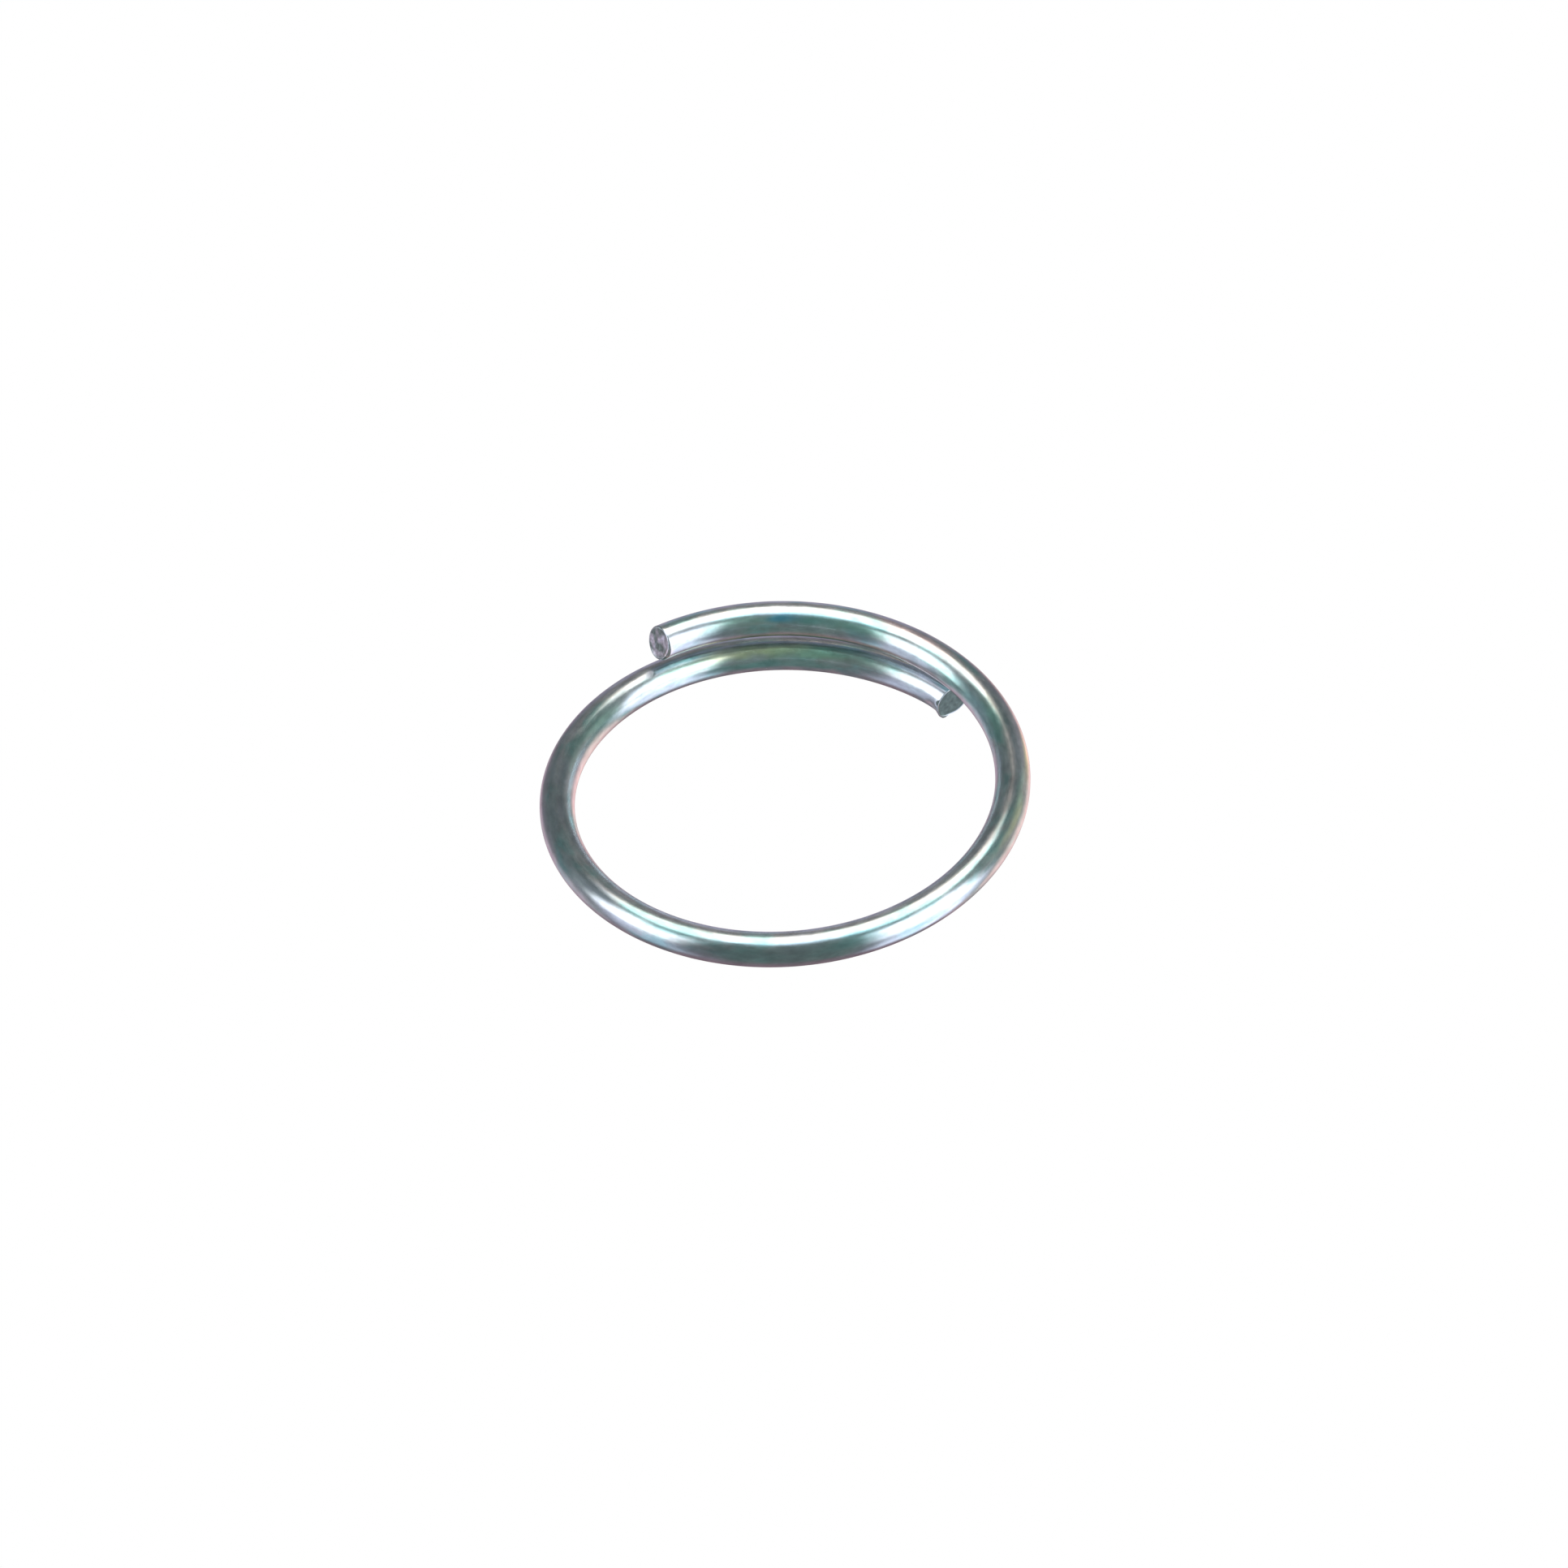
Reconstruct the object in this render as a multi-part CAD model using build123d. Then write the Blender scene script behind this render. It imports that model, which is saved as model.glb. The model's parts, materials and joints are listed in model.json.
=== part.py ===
from build123d import *
from math import cos, pi, radians, sin, tan
import os

os.makedirs("parts", exist_ok=True)

# A key ring made of one round steel wire, coiled a little over one turn.
# The coil's axis is +Z, and the lower turn rests on Z = 0.
# Angles are measured counter-clockwise from +X, and keep counting past 360.

# Driving sizes, in millimetres and degrees
outer_diameter = 25.0        # across the coil, over the wire
wire_diameter = 1.8
turn_gap = 0.6               # free air between the two turns where they overlap
lower_end_angle = 41.6       # where the wire starts
overlap_angle = 80.3         # how far the wire runs past one whole turn
tip_spread = 0.20            # how far the lower tip stands outside the round
spread_start_angle = 90.0    # the lower turn leaves the round here
upper_cut_slant = 14.0       # the upper end is sheared off square: its lower side reaches further
lower_cut_slant = 12.0       # and so is the lower end: its outer side reaches further
edge_roll = 0.07             # rounded edge that the shear leaves
burr_height = 0.10           # lip standing proud of the lower end's face
burr_width = 0.14
burr_clearance = 0.01        # the lip's outside stays this far under the wire's skin
trim_angle = 4.0             # spare wire past each end, which the shears cut off
point_spacing = 4.0          # largest step between points of a centre line

# The wire twists at these angles when the ring is prised open.
# Two neighbours meet there on one round face, square to the wire.
cut_angles = [150.0, 190.0, 230.0, 270.0, 310.0, 350.0, 390.0]
node_names = [
    "lower_end_coil",
    "left_rear_bow",
    "left_front_bow",
    "front_left_bow",
    "front_right_bow",
    "right_front_bow",
    "right_rear_bow",
    "upper_end_coil",
]

# Sizes that follow from the driving ones
wire_radius = wire_diameter / 2
coil_radius = (outer_diameter - wire_diameter) / 2
pitch = wire_diameter + turn_gap
upper_end_angle = lower_end_angle + 360 + overlap_angle
spread_arc = spread_start_angle - lower_end_angle
burr_root = 2 * edge_roll


def spread_share(angle):
    """How far along the sprung tip an angle lies: 0 on the round, 1 at the tip."""
    return max(0.0, spread_start_angle - angle) / spread_arc


def wire_point(angle):
    """Centre of the wire at an angle along the coil."""
    radius = coil_radius + tip_spread * spread_share(angle) ** 2
    height = wire_radius + pitch * (angle - lower_end_angle) / 360
    a = radians(angle)
    return Vector(radius * cos(a), radius * sin(a), height)


def wire_direction(angle):
    """Unit vector along the wire, towards its upper end."""
    share = spread_share(angle)
    radius = coil_radius + tip_spread * share ** 2
    radius_rate = -2 * tip_spread * share / radians(spread_arc)
    height_rate = pitch / (2 * pi)
    a = radians(angle)
    along_x = radius_rate * cos(a) - radius * sin(a)
    along_y = radius_rate * sin(a) + radius * cos(a)
    return Vector(along_x, along_y, height_rate).normalized()


def outward(angle):
    """Level unit vector from the coil's axis to an angle."""
    return Vector(cos(radians(angle)), sin(radians(angle)), 0)


def wire_stretch(start, stop):
    """Round wire between two angles, with its end faces square to the wire."""
    steps = max(6, round((stop - start) / point_spacing))
    angles = [start + (stop - start) * i / steps for i in range(steps + 1)]
    end_directions = (wire_direction(start), wire_direction(stop))
    centre_line = Spline(*[wire_point(a) for a in angles], tangents=end_directions)
    section = Plane(origin=wire_point(start), z_dir=end_directions[0]) * Circle(wire_radius)
    return sweep(section, path=centre_line, is_frenet=True)


def sheared(stretch, cut):
    """Cut a stretch off at a plane that faces out of it, and round the cut's edge."""
    kept = split(stretch, bisect_by=cut, keep=Keep.BOTTOM)
    face = kept.faces().sort_by_distance(cut.origin)[0]
    return fillet(face.edges(), edge_roll)


def burr(cut, side):
    """Crescent lip on a cut face, thickest towards a side given across the face."""
    skin = Circle(wire_radius - burr_clearance)
    crescent = skin - Pos(*(side * -burr_width)) * skin
    return extrude(cut.offset(-burr_root) * crescent, burr_root + burr_height)


# The sheared ends: each plane faces out of the wire, and the lower one's X points outward
lower_lean = tan(radians(lower_cut_slant))
lower_cut = Plane(
    origin=wire_point(lower_end_angle),
    x_dir=outward(lower_end_angle) - wire_direction(lower_end_angle) * lower_lean,
    z_dir=-wire_direction(lower_end_angle) - outward(lower_end_angle) * lower_lean,
)
lean_upwards = Vector(0, 0, tan(radians(upper_cut_slant)))
upper_cut = Plane(
    origin=wire_point(upper_end_angle),
    z_dir=wire_direction(upper_end_angle) + lean_upwards,
)
inward_and_down = Vector(-1.0, -0.6, 0).normalized()

bounds = [lower_end_angle - trim_angle, *cut_angles, upper_end_angle + trim_angle]
stretches = [wire_stretch(start, stop) for start, stop in zip(bounds, bounds[1:])]
stretches[0] = sheared(stretches[0], lower_cut) + burr(lower_cut, inward_and_down)
stretches[-1] = sheared(stretches[-1], upper_cut)

for node_name, stretch in zip(node_names, stretches):
    export_step(stretch, f"parts/{node_name}.step")
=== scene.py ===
import json
from math import atan2, cos, degrees, exp, pi, radians, sin, tan

import bpy
from mathutils import Matrix, Vector, noise

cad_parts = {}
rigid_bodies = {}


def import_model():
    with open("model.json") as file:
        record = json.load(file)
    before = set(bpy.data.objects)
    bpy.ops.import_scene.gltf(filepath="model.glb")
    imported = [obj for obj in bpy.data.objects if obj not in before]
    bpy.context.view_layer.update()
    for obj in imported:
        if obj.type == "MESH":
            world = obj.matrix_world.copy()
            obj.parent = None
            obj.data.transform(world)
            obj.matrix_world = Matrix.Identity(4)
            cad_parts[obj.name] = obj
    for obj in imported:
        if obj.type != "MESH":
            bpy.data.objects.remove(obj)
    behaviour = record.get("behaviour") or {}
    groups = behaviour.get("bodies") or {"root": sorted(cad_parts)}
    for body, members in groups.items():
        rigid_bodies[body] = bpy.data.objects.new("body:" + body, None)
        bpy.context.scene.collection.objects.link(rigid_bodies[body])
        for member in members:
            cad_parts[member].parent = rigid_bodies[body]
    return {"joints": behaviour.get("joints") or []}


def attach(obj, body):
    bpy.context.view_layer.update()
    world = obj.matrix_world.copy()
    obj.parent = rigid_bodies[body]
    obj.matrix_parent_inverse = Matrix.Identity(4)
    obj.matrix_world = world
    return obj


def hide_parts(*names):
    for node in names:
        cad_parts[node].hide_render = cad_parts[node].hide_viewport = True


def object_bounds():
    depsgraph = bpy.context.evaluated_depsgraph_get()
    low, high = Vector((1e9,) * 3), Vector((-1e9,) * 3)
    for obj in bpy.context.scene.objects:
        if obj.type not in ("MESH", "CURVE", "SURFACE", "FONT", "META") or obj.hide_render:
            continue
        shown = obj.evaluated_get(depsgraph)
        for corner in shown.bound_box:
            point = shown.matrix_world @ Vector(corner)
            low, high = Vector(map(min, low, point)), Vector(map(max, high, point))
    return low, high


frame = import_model()
cad_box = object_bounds()

# Lengths are in metres and angles in degrees. "angle" runs along the coil from +X,
# counter-clockwise, and keeps counting past 360, so each place on the wire has one angle.
# "turn" runs round the wire's section: 0 faces out of the coil and 90 faces up.
MM = 0.001

# ---- Sizes read from the frame -------------------------------------------------
bodies_in_order = [frame["joints"][0]["parent"]] + [j["child"] for j in frame["joints"]]
joint_places = [Vector(j["pos_m"]) for j in frame["joints"]]
coil_radius = joint_places[0].xy.length
wire_radius = (cad_box[1][0] - cad_box[0][0]) / 2 - coil_radius

cut_angles = []
for place in joint_places:
    angle = degrees(atan2(place.y, place.x))
    while cut_angles and angle < cut_angles[-1]:
        angle += 360
    cut_angles.append(angle)
first_cut_height = joint_places[0].z
rise_per_degree = (joint_places[-1].z - first_cut_height) / (cut_angles[-1] - cut_angles[0])
lower_end_angle = cut_angles[0] - (first_cut_height - wire_radius) / rise_per_degree

# ---- Sizes of the looks --------------------------------------------------------
upper_end_angle = 481.9
tip_spread = 0.20 * MM          # how far the lower tip stands outside the round
spread_start_angle = 90.0       # the lower turn leaves the round here
upper_cut_slant = 14.0          # the upper end's lower side reaches past square
lower_cut_slant = 12.0          # the lower end's outer side reaches past square
skin_depth = 0.003 * MM         # the visible skin lies this far inside the CAD one
burr_height = 0.16 * MM         # lip that the shears left on the lower end
burr_turn = 216.0               # the lip is highest here
end_stretch = 2.4               # degrees of wire between the last even ring and a sheared end
edge_steps, face_steps = 6, 14  # rings over an end's rounded edge, and across its face
even_stretch = 6.0              # degrees over which the skin grows even towards a joint
ring_step = 0.9                 # degrees of coil from one ring of points to the next
points_around = 64
PLATED, SHEARED = 0, 1          # material slots of every piece


# ---- The wire ------------------------------------------------------------------
def wire_point(angle):
    """Centre of the wire."""
    share = max(0.0, spread_start_angle - angle) / (spread_start_angle - lower_end_angle)
    radius = coil_radius + tip_spread * share ** 2
    height = first_cut_height + rise_per_degree * (angle - cut_angles[0])
    return Vector((radius * cos(radians(angle)), radius * sin(radians(angle)), height))


def wire_axes(angle):
    """Along the wire, out of the coil, and up: unit vectors square to each other."""
    step = 0.01
    along = (wire_point(angle + step) - wire_point(angle - step)).normalized()
    out = Vector((cos(radians(angle)), sin(radians(angle)), 0))
    out = (out - out.dot(along) * along).normalized()
    return along, out, out.cross(along)


def near(value, middle, half):
    """1 at the middle, falling smoothly to about 0 at twice the half width."""
    return exp(-((value - middle) / half) ** 2)


def turned_by(turn, middle):
    """How far a turn is from another, the short way round."""
    return abs((turn - middle + 180) % 360 - 180)


def spot(angle, turn, at, length, towards, width):
    """1 at one place on the wire, falling smoothly along it and round it."""
    return near(angle, at, length) * near(turned_by(turn, towards), 0, width)


# ---- Film colours, painted shade and painted highlights ------------------------
# The clear passivation on the zinc is thin enough to show faint interference colours.
ZINC = Vector((0.60, 0.64, 0.66))
TEAL = Vector((0.34, 0.64, 0.64))
BLUE = Vector((0.18, 0.55, 0.82))
OLIVE = Vector((0.95, 0.98, 0.62))
JADE = Vector((0.50, 0.88, 0.74))
LILAC = Vector((0.58, 0.60, 0.68))
ROSE = Vector((0.92, 0.74, 0.78))
# painted shade: a dark grey laid where the wire should reflect less light, not a film colour
PAINTED_SHADE = Vector((0.40, 0.42, 0.46))
# painted highlight: a near-white laid where the wire should reflect brighter light, not a film colour
PAINTED_HIGHLIGHT = Vector((0.92, 0.94, 1.00))

# Where the film is thicker or thinner, and where shade and highlights are painted: angle, turn, half
# length, half width, colour, strength
film_and_painted_light_patches = [
    # painted shade on the front, low on the wire
    (268, 20, 26, 34, PAINTED_SHADE, 0.85),
    (284, 34, 7, 20, TEAL, 0.55),
    (236, 66, 12, 18, TEAL, 0.30),
    (187, 78, 16, 26, PAINTED_SHADE, 0.35),
    (158, 122, 9, 18, JADE, 0.45),
    (147, 138, 7, 26, JADE, 0.55),
    (117, 140, 10, 20, JADE, 0.80),
    (92, 130, 19, 17, OLIVE, 0.95),
    (84, 140, 7, 12, JADE, 0.60),
    (72, 128, 12, 14, JADE, 0.75),
    (93, 178, 16, 16, TEAL, 0.65),
    (340, 46, 9, 12, OLIVE, 0.60),
    (352, 58, 8, 10, JADE, 0.35),
    (362, 36, 8, 14, OLIVE, 0.65),
    (377, 118, 10, 20, JADE, 0.60),
    (384, 146, 8, 20, BLUE, 0.35),
    (428, 138, 11, 16, JADE, 0.60),
    (441, 140, 8, 18, TEAL, 0.85),
    (449, 136, 4, 14, BLUE, 0.95),
    (461, 138, 9, 16, JADE, 0.70),
    (470, 156, 6, 16, TEAL, 0.45),
    (395, 150, 13, 20, JADE, 0.55),
    (478, 150, 5, 40, LILAC, 0.4),
    # painted contact shadow on the wire beside the upper end
    (479, 206, 5, 18, PAINTED_SHADE, 0.8),
    (49, 172, 5, 22, PAINTED_SHADE, 0.55),
    (46.1, 184, 1.0, 12, ROSE, 0.8),
    # painted highlight on the upper end's rounded edge, pink like the film
    (481.9, 205, 0.7, 40, ROSE, 1.0),
    # painted shade in the crevice between the turns
    (440, 212, 42, 13, PAINTED_SHADE, 0.9),
    (440, 202, 42, 10, OLIVE, 0.35),
    (394, 142, 7, 20, PAINTED_SHADE, 0.4),
    (350, 86, 22, 12, PAINTED_SHADE, 0.75),
    (372, 94, 8, 11, PAINTED_SHADE, 0.6),
    # painted shade on the lower turn, where the upper turn keeps the overhead light off
    (92, 80, 34, 12, PAINTED_SHADE, 0.6),
    # painted highlight low on the front right, where the side softbox's image reaches further down
    (307, 350, 9, 14, PAINTED_HIGHLIGHT, 0.85),
    (270, 112, 28, 8, PAINTED_HIGHLIGHT, 0.55),
    (56, 112, 9, 9, PAINTED_HIGHLIGHT, 0.5),
    (414, 83, 18, 8, ROSE, 0.75),
    (380, 148, 6, 16, PAINTED_HIGHLIGHT, 0.4),
]


def film_and_painted_light_colour(angle, turn):
    """Colour of the plating before its fine grain: film colours with painted shade and painted highlights
    laid over them.
    """
    side = Vector((0, cos(radians(turn)), sin(radians(turn))))
    place = Vector((radians(angle) * 4.5, 0, 0)) + side * 1.1
    drift = noise.fractal(place, 0.7, 2.1, 4)
    colour = ZINC.lerp(TEAL if drift > 0 else LILAC, min(0.7, abs(drift) * 1.1))
    ragged = 0.28 * noise.noise(place * 2.3 + Vector((31, 0, 0)))
    for at, towards, length, width, patch, strength in film_and_painted_light_patches:
        along = near(angle, at + 9 * ragged, length)
        if along > 0.02:
            share = along * near(turned_by(turn, towards), 30 * ragged, width)
            colour = colour.lerp(patch, min(1.0, strength * share * (1 + ragged)))
    return colour


# ---- Mesh of one piece ---------------------------------------------------------
class WireMesh:
    """Rings of points joined into one closed skin, with wire coordinates for the material."""

    def __init__(self, name):
        self.name = name
        self.points = []
        self.spots = []
        self.tints = []
        self.alongs = []
        self.faces = []
        self.face_materials = []
        self.exact_normals = {}

    def ring(self, angle, radius_at, shift_at=lambda turn: 0.0, exact=False, tint_at=None):
        """A ring of points round the wire, and the index of its first one."""
        first = len(self.points)
        along, out, up = wire_axes(angle)
        centre = wire_point(angle)
        arc = radians(angle) * coil_radius
        for i in range(points_around):
            turn = 360 * i / points_around
            across, rise = cos(radians(turn)), sin(radians(turn))
            side = across * out + rise * up
            radius, shift = radius_at(turn), shift_at(turn)
            self.points.append(centre + radius * side + shift * along)
            self.spots.append((arc + shift, radius * across, radius * rise))
            self.alongs.append(along)
            self.tints.append(tint_at(turn, radius) if tint_at else film_and_painted_light_colour(angle, turn))
            if exact:
                self.exact_normals[first + i] = side
        return first

    def bridge(self, a, b, material=PLATED):
        """Faces between two rings, facing outwards when b is further along the wire."""
        for i in range(points_around):
            j = (i + 1) % points_around
            self.faces.append((a + i, b + i, b + j, a + j))
            self.face_materials.append(material)

    def cap(self, ring, faces_along, material=PLATED):
        """One flat face across a ring."""
        loop = list(range(ring, ring + points_around))
        self.faces.append(tuple(reversed(loop) if faces_along else loop))
        self.face_materials.append(material)

    def make(self):
        mesh = bpy.data.meshes.new(self.name)
        mesh.from_pydata(self.points, [], self.faces)
        mesh.polygons.foreach_set("material_index", self.face_materials)
        mesh.polygons.foreach_set("use_smooth", [True] * len(self.faces))
        mesh.update()
        spots = mesh.attributes.new("wire_spot", "FLOAT_VECTOR", "POINT")
        spots.data.foreach_set("vector", [value / MM for spot in self.spots for value in spot])
        tints = mesh.attributes.new("tint_with_painted_light", "FLOAT_COLOR", "POINT")
        tints.data.foreach_set("color", [value for tint in self.tints for value in (*tint, 1.0)])
        alongs = mesh.attributes.new("wire_along", "FLOAT_VECTOR", "POINT")
        alongs.data.foreach_set("vector", [value for along in self.alongs for value in along])
        normals = [self.exact_normals.get(v.index, v.normal).normalized() for v in mesh.vertices]
        mesh.normals_split_custom_set_from_vertices(normals)
        piece = bpy.data.objects.new(self.name, mesh)
        bpy.context.scene.collection.objects.link(piece)
        return piece


def unevenness(angle, turn):
    """Change of radius: the drawn wire's slight waviness, two nicks from handling, and the
    metal that the shears dragged out at the lower end."""
    side = Vector((0, cos(radians(turn)), sin(radians(turn))))
    place = Vector((radians(angle) * 5.0, 0, 0)) + side * 0.5
    wave = 0.0040 * noise.noise(place) + 0.0014 * noise.noise(place * 4)
    nicks = 0.022 * spot(angle, turn, 46.2, 1.0, 184, 13) + 0.014 * spot(angle, turn, 49.4, 0.8, 158, 12)
    drag = 0.09 * spot(angle, turn, lower_end_angle, 4.0, 192, 42)
    bulge = 0.15 * spot(angle, turn, lower_end_angle, 1.4, 224, 22)
    return (wave - nicks + drag + bulge) * MM


def skin_radius(angle, turn):
    """The wire's own radius, even at the joints so that neighbouring pieces meet."""
    from_cut = min(abs(angle - cut) for cut in cut_angles)
    return wire_radius - skin_depth + min(1.0, from_cut / even_stretch) * unevenness(angle, turn)


def tube(wire, start, stop, start_is_cut, stop_is_cut):
    """Rings of the round skin from one angle to another. Gives the first and the last ring."""
    count = max(2, round((stop - start) / ring_step))
    rings = []
    for i in range(count + 1):
        angle = start + (stop - start) * i / count
        exact = (i == 0 and start_is_cut) or (i == count and stop_is_cut)
        rings.append(wire.ring(angle, lambda turn: skin_radius(angle, turn), exact=exact))
        if i:
            wire.bridge(rings[-2], rings[-1])
    return rings[0], rings[-1]


# ---- Sheared ends --------------------------------------------------------------
def upper_relief(across):
    """The upper end broke off: coarse grain, and a step where the cut turned into a tear."""
    grain = 0.020 * noise.noise(across * 3.4) + 0.012 * noise.noise(across * 8)
    step = 0.035 if across.x + 0.6 * across.y > 0.1 + 0.2 * noise.noise(across * 2) else 0.0
    return (grain + step - 0.035) * MM


def lower_relief(across):
    """The lower end was cut clean, with faint grain."""
    grain = 0.009 * noise.noise(across * 4.0 + Vector((7, 0, 0))) + 0.005 * noise.noise(across * 11)
    return (grain - 0.014) * MM


def upper_break_colour(across):
    patch = noise.noise(across * 2.2 + Vector((3, 5, 0)))
    speck = noise.noise(across * 6.0)
    share = max(0.0, min(1.0, 0.45 + 1.9 * patch))
    colour = Vector((0.24, 0.28, 0.27)).lerp(Vector((0.66, 0.60, 0.68)), share)
    return colour * (1 + 0.35 * speck)


def lower_cut_colour(across):
    speck = noise.noise(across * 5.0)
    return Vector((0.125, 0.160, 0.145)) * (1 + 0.4 * speck)


def upper_slope(turn):
    """How far along the wire the slanted upper cut lies, for each metre of radius."""
    return -tan(radians(upper_cut_slant)) * sin(radians(turn))


def lower_slope(turn):
    """The same for the lower cut."""
    return -tan(radians(lower_cut_slant)) * cos(radians(turn))


def lip_shift(turn, share):
    """How far the lower end's lip stands out. share is 0 at the skin and 1 at the face."""
    return -burr_height * near(turned_by(turn, burr_turn), 0, 30) * near(share, 0.55, 0.4)


def end_face(wire, edge, angle, facing, slope_at, roll_at, relief_at, colour_at):
    """Rounded edge and rough face of a sheared end.
    facing is 1 at the upper end, and -1 at the lower end, which has a lip."""

    def join(a, b, material):
        if facing > 0:
            wire.bridge(a, b, material)
        else:
            wire.bridge(b, a, material)

    def tint_at(turn, radius):
        across = Vector((radius * cos(radians(turn)), radius * sin(radians(turn)), 0)) / MM
        return colour_at(across)

    ring = edge
    for k in range(1, edge_steps + 1):
        bend = radians(90 * k / edge_steps)

        def radius_at(turn):
            return skin_radius(angle, turn) - roll_at(turn) * (1 - cos(bend))

        def shift_at(turn):
            slope = slope_at(turn) * radius_at(turn)
            lip = lip_shift(turn, k / edge_steps) if facing < 0 else 0.0
            return slope - facing * roll_at(turn) * (1 - sin(bend)) + lip

        next_ring = wire.ring(angle, radius_at, shift_at)
        join(ring, next_ring, PLATED)
        ring = next_ring
    for k in range(1, face_steps + 1):
        share = 1 - k / (face_steps + 0.4)

        def radius_at(turn):
            return (skin_radius(angle, turn) - roll_at(turn)) * share

        def shift_at(turn):
            radius = radius_at(turn)
            slope = slope_at(turn) * radius
            across = Vector((radius * cos(radians(turn)), radius * sin(radians(turn)), 0)) / MM
            return slope + facing * relief_at(across) * min(1.0, k / 2)

        next_ring = wire.ring(angle, radius_at, shift_at, tint_at=tint_at)
        join(ring, next_ring, SHEARED)
        ring = next_ring
    wire.cap(ring, faces_along=facing > 0, material=SHEARED)


def upper_roll(turn):
    """Width of the upper end's rounded edge, broad on the inner, lower side."""
    return (0.05 + 0.17 * max(0.0, cos(radians(turn - 205))) ** 2) * MM


def lower_roll(turn):
    """Width of the lower end's rounded edge."""
    return (0.03 + 0.03 * max(0.0, cos(radians(turn - 30))) ** 2) * MM


def wire_piece(index):
    """The stretch of wire that stands for one body."""
    body = bodies_in_order[index]
    wire = WireMesh("wire_" + body)
    is_lowest = index == 0
    is_highest = index == len(bodies_in_order) - 1
    start = lower_end_angle + end_stretch if is_lowest else cut_angles[index - 1]
    stop = upper_end_angle - end_stretch if is_highest else cut_angles[index]
    first, last = tube(wire, start, stop, not is_lowest, not is_highest)
    if is_lowest:
        edge = wire.ring(
            lower_end_angle,
            lambda turn: skin_radius(lower_end_angle, turn),
            lambda turn: lower_slope(turn) * wire_radius + lower_roll(turn),
        )
        wire.bridge(edge, first)
        end_face(
            wire, edge, lower_end_angle, -1, lower_slope, lower_roll, lower_relief, lower_cut_colour
        )
    else:
        wire.cap(first, faces_along=False)
    if is_highest:
        edge = wire.ring(
            upper_end_angle,
            lambda turn: skin_radius(upper_end_angle, turn),
            lambda turn: upper_slope(turn) * wire_radius - upper_roll(turn),
        )
        wire.bridge(last, edge)
        end_face(
            wire, edge, upper_end_angle, 1, upper_slope, upper_roll, upper_relief, upper_break_colour
        )
    else:
        wire.cap(last, faces_along=True)
    piece = wire.make()
    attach(piece, body)
    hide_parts(body)
    return piece


pieces = [wire_piece(i) for i in range(len(bodies_in_order))]


# ---- Materials -----------------------------------------------------------------
def add(tree, kind, **settings):
    made = tree.nodes.new(kind)
    for key, value in settings.items():
        setattr(made, key, value)
    return made


def new_material(name):
    """An empty material, its tree and its output's surface socket."""
    material = bpy.data.materials.new(name)
    material.use_nodes = True
    tree = material.node_tree
    tree.nodes.clear()
    return material, tree, add(tree, "ShaderNodeOutputMaterial").inputs["Surface"]


def streaks(tree, stretch, scale, detail, rough=0.5):
    """Noise in the wire's own coordinates (mm), drawn out along the wire."""
    spot = add(tree, "ShaderNodeAttribute", attribute_name="wire_spot")
    squeeze = add(tree, "ShaderNodeVectorMath", operation="MULTIPLY")
    squeeze.inputs[1].default_value = (stretch, 1.0, 1.0)
    tree.links.new(spot.outputs["Vector"], squeeze.inputs[0])
    made = add(tree, "ShaderNodeTexNoise")
    made.inputs["Scale"].default_value = scale
    made.inputs["Detail"].default_value = detail
    made.inputs["Roughness"].default_value = rough
    tree.links.new(squeeze.outputs[0], made.inputs["Vector"])
    return made.outputs["Fac"]


def spread(tree, value, low, high, to_low, to_high):
    """A value between low and high, as one between to_low and to_high."""
    made = add(tree, "ShaderNodeMapRange")
    made.inputs["From Min"].default_value = low
    made.inputs["From Max"].default_value = high
    made.inputs["To Min"].default_value = to_low
    made.inputs["To Max"].default_value = to_high
    tree.links.new(value, made.inputs["Value"])
    return made.outputs[0]


def shaded(tree, colour, value):
    """A colour times a value."""
    made = add(tree, "ShaderNodeVectorMath", operation="SCALE")
    tree.links.new(colour, made.inputs[0])
    tree.links.new(value, made.inputs["Scale"])
    return made.outputs[0]


def metal_of(tree, surface, edge_tint):
    metal = add(tree, "ShaderNodeBsdfPrincipled")
    metal.inputs["Metallic"].default_value = 1.0
    metal.inputs["Specular Tint"].default_value = edge_tint
    tree.links.new(metal.outputs[0], surface)
    return metal


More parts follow.
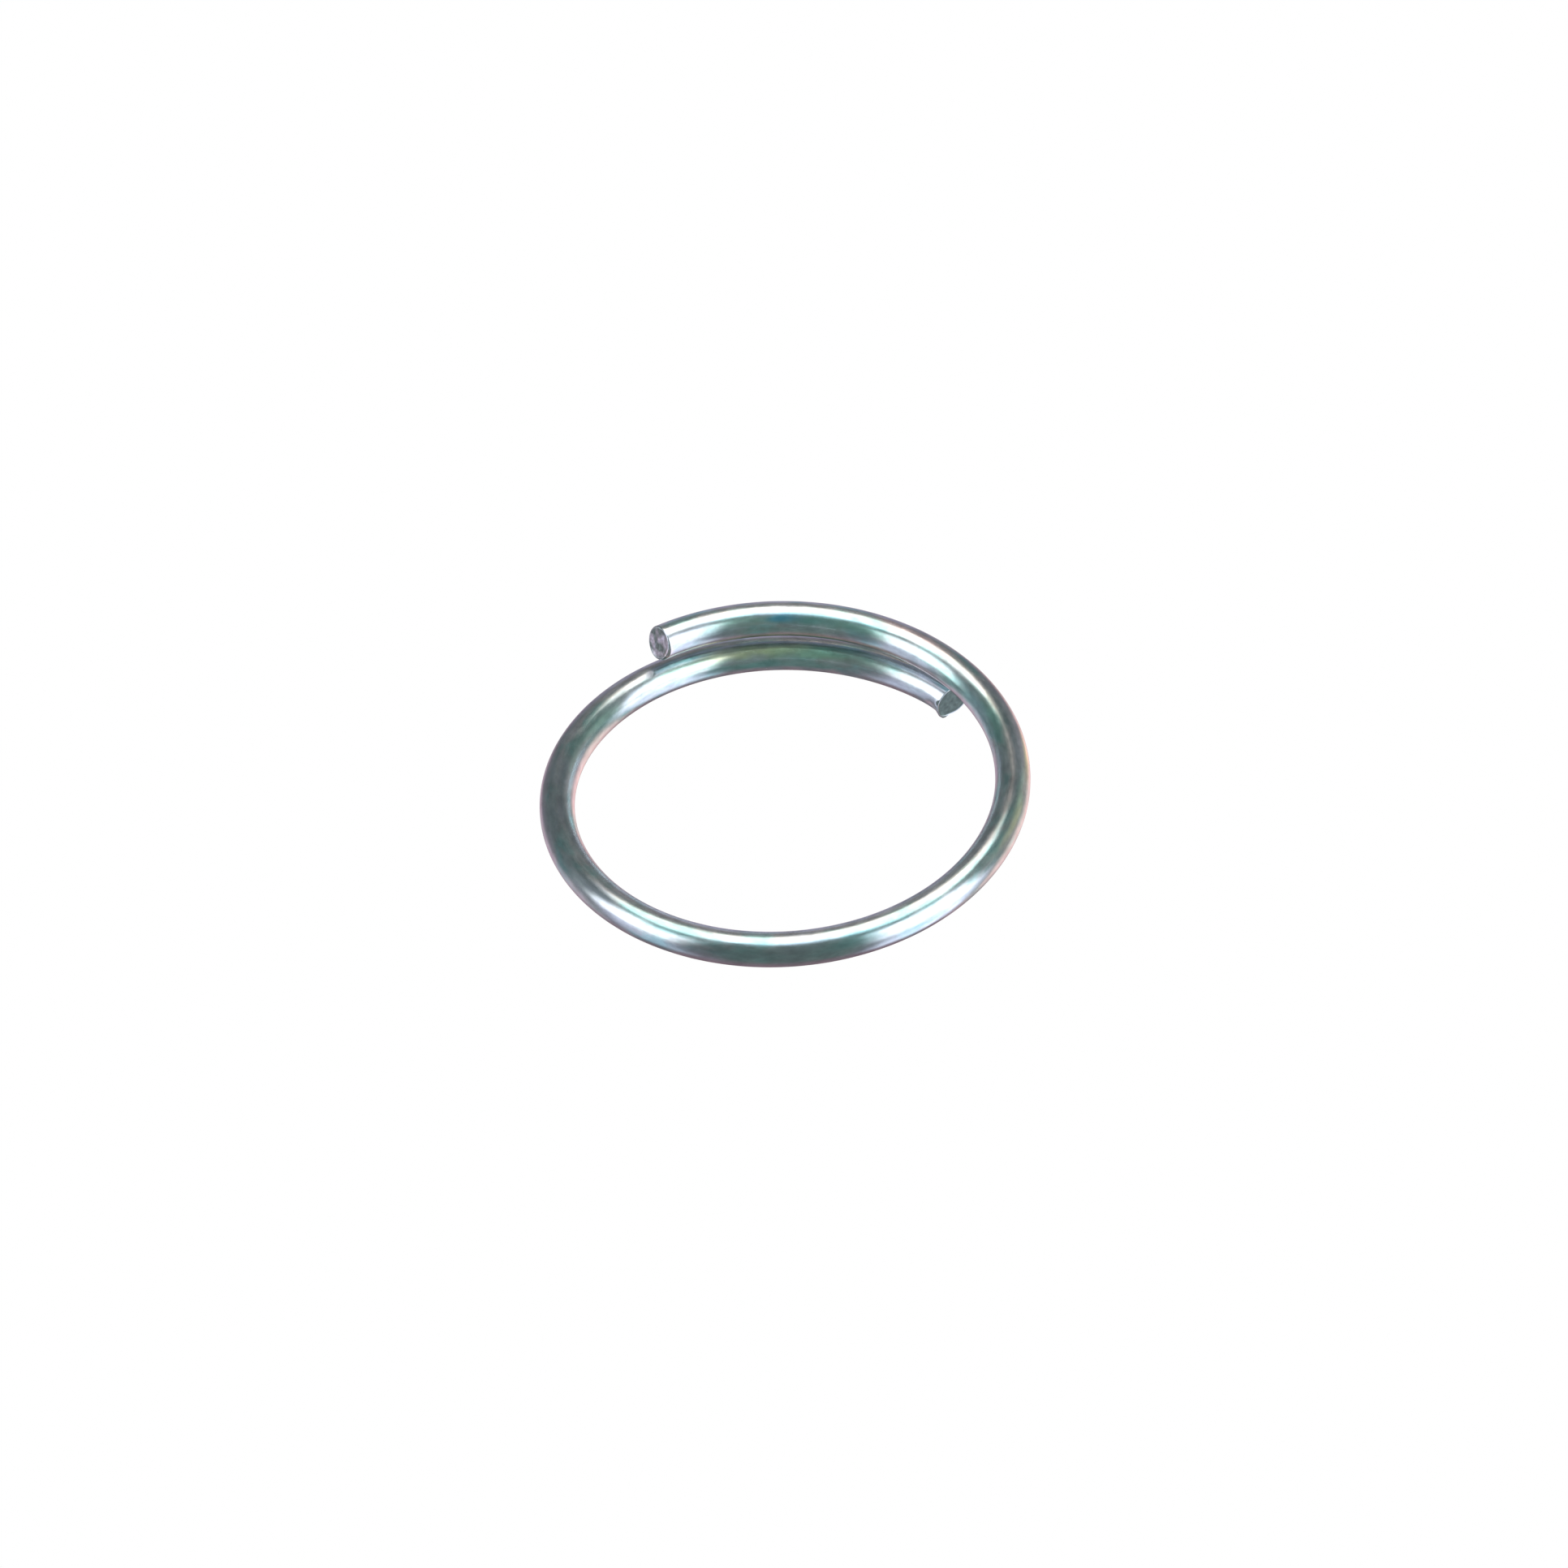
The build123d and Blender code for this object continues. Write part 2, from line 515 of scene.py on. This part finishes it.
def plated_steel():
    """Bright zinc on drawn wire, with the faint uneven colours of its clear passivation and patches of
    painted shade and painted highlight.
    """
    material, tree, surface = new_material("zinc_plated_wire")
    link = tree.links.new
    metal = metal_of(tree, surface, (1.0, 0.82, 0.86, 1.0))
    # the tint holds the film colours together with the painted shade and painted highlights
    film_and_painted_light = add(tree, "ShaderNodeAttribute", attribute_name="tint_with_painted_light")
    mottle = streaks(tree, 0.45, 2.2, 6.0, 0.62)
    colour = shaded(tree, film_and_painted_light.outputs["Color"], spread(tree, mottle, 0.3, 0.7, 0.78, 1.16))
    link(colour, metal.inputs["Base Color"])
    lines = streaks(tree, 0.06, 9.0, 3.0)
    haze = streaks(tree, 0.5, 1.3, 3.0)
    gloss = add(tree, "ShaderNodeMath", operation="ADD")
    link(spread(tree, lines, 0.3, 0.7, 0.16, 0.22), gloss.inputs[0])
    link(spread(tree, haze, 0.35, 0.7, 0.0, 0.06), gloss.inputs[1])
    link(gloss.outputs[0], metal.inputs["Roughness"])
    relief = add(tree, "ShaderNodeBump")
    relief.inputs["Strength"].default_value = 0.12
    relief.inputs["Distance"].default_value = 0.02 * MM
    link(lines, relief.inputs["Height"])
    link(relief.outputs[0], metal.inputs["Normal"])
    # the drawing lines run along the wire, and spread its gloss across them
    along = add(tree, "ShaderNodeAttribute", attribute_name="wire_along")
    in_world = add(tree, "ShaderNodeVectorTransform", convert_from="OBJECT", convert_to="WORLD")
    link(along.outputs["Vector"], in_world.inputs[0])
    link(in_world.outputs[0], metal.inputs["Tangent"])
    metal.inputs["Anisotropic"].default_value = 0.7
    metal.inputs["Anisotropic Rotation"].default_value = 0.25
    return material


def sheared_steel():
    """Grainy steel where the shears broke the wire, dulled by the plating bath."""
    material, tree, surface = new_material("sheared_wire_end")
    link = tree.links.new
    metal = metal_of(tree, surface, (1.0, 0.9, 0.92, 1.0))
    tint = add(tree, "ShaderNodeAttribute", attribute_name="tint_with_painted_light")
    grain = streaks(tree, 1.0, 7.0, 3.0, 0.5)
    colour = shaded(tree, tint.outputs["Color"], spread(tree, grain, 0.3, 0.7, 0.8, 1.2))
    link(colour, metal.inputs["Base Color"])
    link(spread(tree, grain, 0.3, 0.7, 0.34, 0.52), metal.inputs["Roughness"])
    relief = add(tree, "ShaderNodeBump")
    relief.inputs["Strength"].default_value = 0.3
    relief.inputs["Distance"].default_value = 0.03 * MM
    link(grain, relief.inputs["Height"])
    link(relief.outputs[0], metal.inputs["Normal"])
    return material


plating, bare_end = plated_steel(), sheared_steel()
for piece in pieces:
    piece.data.materials.append(plating)
    piece.data.materials.append(bare_end)


# ---- Floor ---------------------------------------------------------------------
def pale_floor():
    mesh = bpy.data.meshes.new("floor")
    half = 2.0
    corners = [(-half, -half, 0), (half, -half, 0), (half, half, 0), (-half, half, 0)]
    mesh.from_pydata(corners, [], [(0, 1, 2, 3)])
    floor = bpy.data.objects.new("floor", mesh)
    bpy.context.scene.collection.objects.link(floor)
    material, tree, surface = new_material("white_paper")
    glow = add(tree, "ShaderNodeEmission")
    tree.links.new(glow.outputs[0], surface)
    mesh.materials.append(material)
    floor.visible_glossy = False
    floor.visible_diffuse = False


pale_floor()


# ---- Studio --------------------------------------------------------------------
def studio():
    """A grey tent with one round softbox overhead and one at each side, all far from the ring.
    bearing is 0 away from the camera and 90 to its right."""
    world = bpy.data.worlds.new("studio")
    bpy.context.scene.world = world
    world.use_nodes = True
    tree = world.node_tree
    tree.nodes.clear()
    link = tree.links.new

    def maths(operation, a, b=None):
        made = add(tree, "ShaderNodeMath", operation=operation)
        for socket, value in zip(made.inputs, (a, b)):
            if isinstance(value, (int, float)):
                socket.default_value = value
            elif value is not None:
                link(value, socket)
        return made.outputs[0]

    def fade(value, full, none):
        """1 where the value is at full, 0 where it is at none."""
        made = add(tree, "ShaderNodeMapRange", interpolation_type="SMOOTHSTEP")
        made.inputs["From Min"].default_value = none
        made.inputs["From Max"].default_value = full
        link(value, made.inputs["Value"])
        return made.outputs[0]

    def window(value, low, high, soft):
        """1 between low and high, fading to 0 over soft at each edge."""
        middle, half = (low + high) / 2, (high - low) / 2
        off = maths("ABSOLUTE", maths("SUBTRACT", value, middle))
        return fade(off, half - soft / 2, half + soft / 2)

    def mixed(below, colour, share):
        """The light so far, with a colour over it."""
        made = add(tree, "ShaderNodeMix", data_type="RGBA")
        factor, under, over = made.inputs[0], made.inputs[6], made.inputs[7]
        link(share, factor)
        for socket, value in ((under, below), (over, colour)):
            if isinstance(value, tuple):
                socket.default_value = (*value, 1.0)
            else:
                link(value, socket)
        return made.outputs[2]

    direction = add(tree, "ShaderNodeTexCoord").outputs["Generated"]
    parts = add(tree, "ShaderNodeSeparateXYZ")
    link(direction, parts.inputs[0])
    x, y, z = parts.outputs
    bearing = maths("MULTIPLY", maths("ARCTAN2", x, y), 180 / pi)
    height = maths("MULTIPLY", maths("ARCSINE", z), 180 / pi)

    def panel(light, bearings, heights, soft, colour, strength=1.0):
        """Lights a stretch of the tent."""
        share = maths("MULTIPLY", window(bearing, *bearings, soft), window(height, *heights, soft))
        return mixed(light, colour, maths("MULTIPLY", share, strength))

    # the tent: mauve below, grey-green above and towards the camera
    light = mixed((0.29, 0.235, 0.26), (0.22, 0.22, 0.245), fade(height, -35, -70))
    light = mixed(light, (0.145, 0.180, 0.182), fade(height, 25, -20))
    towards_camera = maths("MULTIPLY", fade(maths("ABSOLUTE", bearing), 160, 136), fade(height, -50, -68))
    light = mixed(light, (0.185, 0.245, 0.230), towards_camera)
    # paler stretches between the softboxes and the far side
    light = panel(light, (-90, -66), (-45, 52), 26, (0.30, 0.35, 0.37), 0.6)
    light = panel(light, (70, 98), (-45, 52), 26, (0.34, 0.40, 0.38), 0.7)
    light = panel(light, (34, 76), (-24, 26), 28, (0.50, 0.49, 0.48), 0.75)
    # far wall straight beyond the ring
    light = panel(light, (-14, 14), (4, 34), 20, (0.30, 0.27, 0.265), 0.9)
    light = panel(light, (-15, 15), (-40, 10), 20, (0.47, 0.50, 0.62), 0.9)
    # far edge of the paper, seen low beyond the ring
    light = panel(light, (16, 80), (-52, -18), 22, (1.50, 1.18, 1.08), 0.9)
    light = panel(light, (-80, -16), (-52, -22), 22, (0.78, 0.70, 0.78), 0.85)
    # images of the side softboxes in the paper
    light = panel(light, (-129, -98), (-54, -2), 20, (0.82, 0.88, 1.06), 0.85)
    light = panel(light, (92, 138), (-62, -4), 20, (1.55, 1.70, 2.00), 0.85)
    # side softboxes
    light = panel(light, (-130, -88), (0, 47), 14, (2.3, 2.4, 2.5))
    light = panel(light, (97, 146), (-12, 48), 14, (2.4, 2.5, 2.65))
    # overhead softbox, measured on a level plane one unit up: warm at its far edge
    above = maths("MAXIMUM", z, 0.02)
    across = maths("DIVIDE", x, above)
    depth = maths("DIVIDE", y, above)

    def disc(middle, half_across, half_deep, edge_in, edge_out):
        """1 inside an oval on that plane, fading to 0 at its rim."""
        off_x = maths("DIVIDE", across, half_across)
        off_y = maths("DIVIDE", maths("SUBTRACT", depth, middle), half_deep)
        off = maths("ADD", maths("MULTIPLY", off_x, off_x), maths("MULTIPLY", off_y, off_y))
        inside = fade(maths("SQRT", off), edge_in, edge_out)
        return maths("MULTIPLY", inside, maths("GREATER_THAN", z, 0.02))

    softbox = mixed((1.7, 2.35, 2.7), (2.45, 2.5, 2.4), fade(depth, 0.06, -0.22))
    softbox = mixed(softbox, (2.7, 2.1, 1.65), fade(depth, 0.85, 0.58))
    light = mixed(light, softbox, disc(0.28, 0.60, 0.55, 0.92, 1.10))

    seen = add(tree, "ShaderNodeBackground")
    seen.inputs["Color"].default_value = (1, 1, 1, 1)
    felt = add(tree, "ShaderNodeBackground")
    link(light, felt.inputs["Color"])
    path = add(tree, "ShaderNodeLightPath")
    chosen = add(tree, "ShaderNodeMixShader")
    link(path.outputs["Is Camera Ray"], chosen.inputs["Fac"])
    link(felt.outputs[0], chosen.inputs[1])
    link(seen.outputs[0], chosen.inputs[2])
    output = add(tree, "ShaderNodeOutputWorld")
    link(chosen.outputs[0], output.inputs["Surface"])


studio()
bpy.context.scene.view_settings.view_transform = "Standard"


# ---- Camera --------------------------------------------------------------------
def camera():
    """Looks down on the ring from the front through a long lens."""
    elevation, roll = 43.32, -2.47
    distance = 54.97 * coil_radius
    back = Vector((0, -cos(radians(elevation)), sin(radians(elevation))))
    level_right = Vector((1, 0, 0))
    level_up = back.cross(level_right)
    right = cos(radians(roll)) * level_right + sin(radians(roll)) * level_up
    up = back.cross(right)
    target = Vector((0, 0, wire_point(270).z))
    framing = (-0.0035 * right + 0.0269 * up) * coil_radius
    data = bpy.data.cameras.new("camera")
    data.sensor_width = 36
    data.lens = 288.19
    data.clip_start = 0.01
    made = bpy.data.objects.new("camera", data)
    bpy.context.scene.collection.objects.link(made)
    facing = Matrix((right, up, back)).transposed().to_4x4()
    made.matrix_world = Matrix.Translation(target + back * distance + framing) @ facing
    bpy.context.scene.camera = made


camera()
